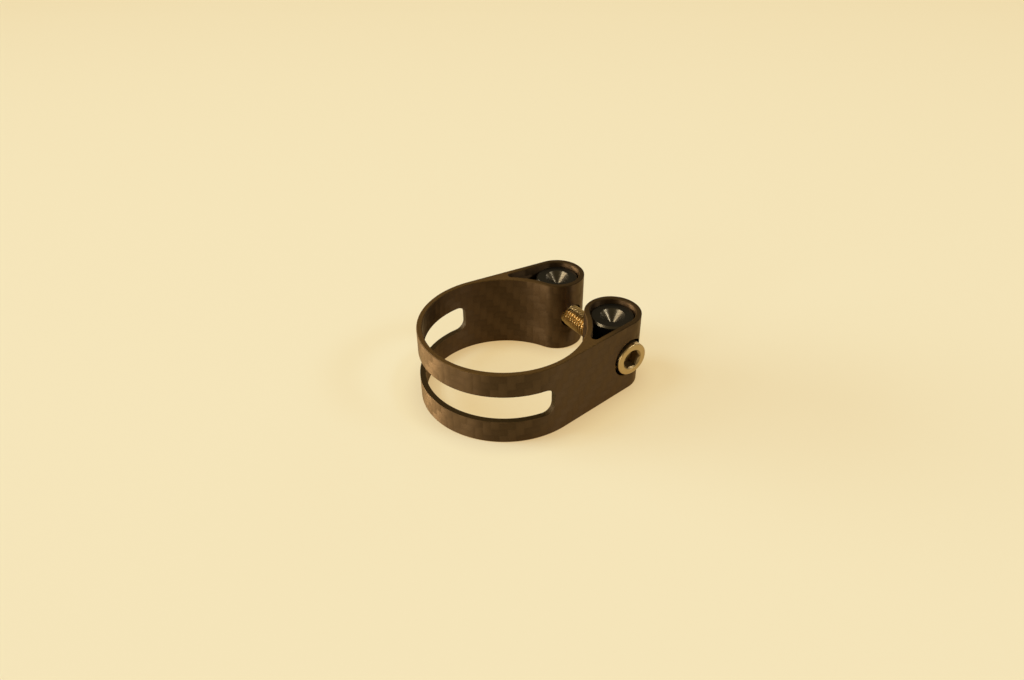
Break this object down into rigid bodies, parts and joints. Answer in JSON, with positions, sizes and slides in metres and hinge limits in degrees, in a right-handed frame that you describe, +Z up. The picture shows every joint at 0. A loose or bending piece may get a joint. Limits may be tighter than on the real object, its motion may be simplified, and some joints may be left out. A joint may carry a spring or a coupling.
{
  "type": "seatpost clamp",
  "caption": "Seatpost clamp: slim composite ring, slotted round its back, with teardrop loops that a socket-head bolt draws together through upright barrels.",
  "frame": {"origin": "on the axis of the bore, level with the lower edge of the band", "axes": "+Z up the seat tube, +X from the bore to the opening between the loops, the bolt along Y with its head at -Y"},
  "size_m": [0.0464, 0.0372, 0.0172],
  "materials": {
    "composite": "dark brown-black carbon laminate, satin clear coat",
    "barrel_metal": "black anodised, glossy",
    "bolt_metal": "pale golden metal, turned"
  },
  "bodies": {
    "clamp": {"band": "composite", "barrel_washer": "barrel_metal", "barrel_nut": "barrel_metal"},
    "bolt": {"clamp_bolt": "bolt_metal"}
  },
  "joints": [
    {"name": "bolt_turn", "type": "hinge", "parent": "clamp", "child": "bolt", "pos_m": [0.02148, 0, 0.0086], "axis": [0, 1, 0], "continuous": true}
  ]
}
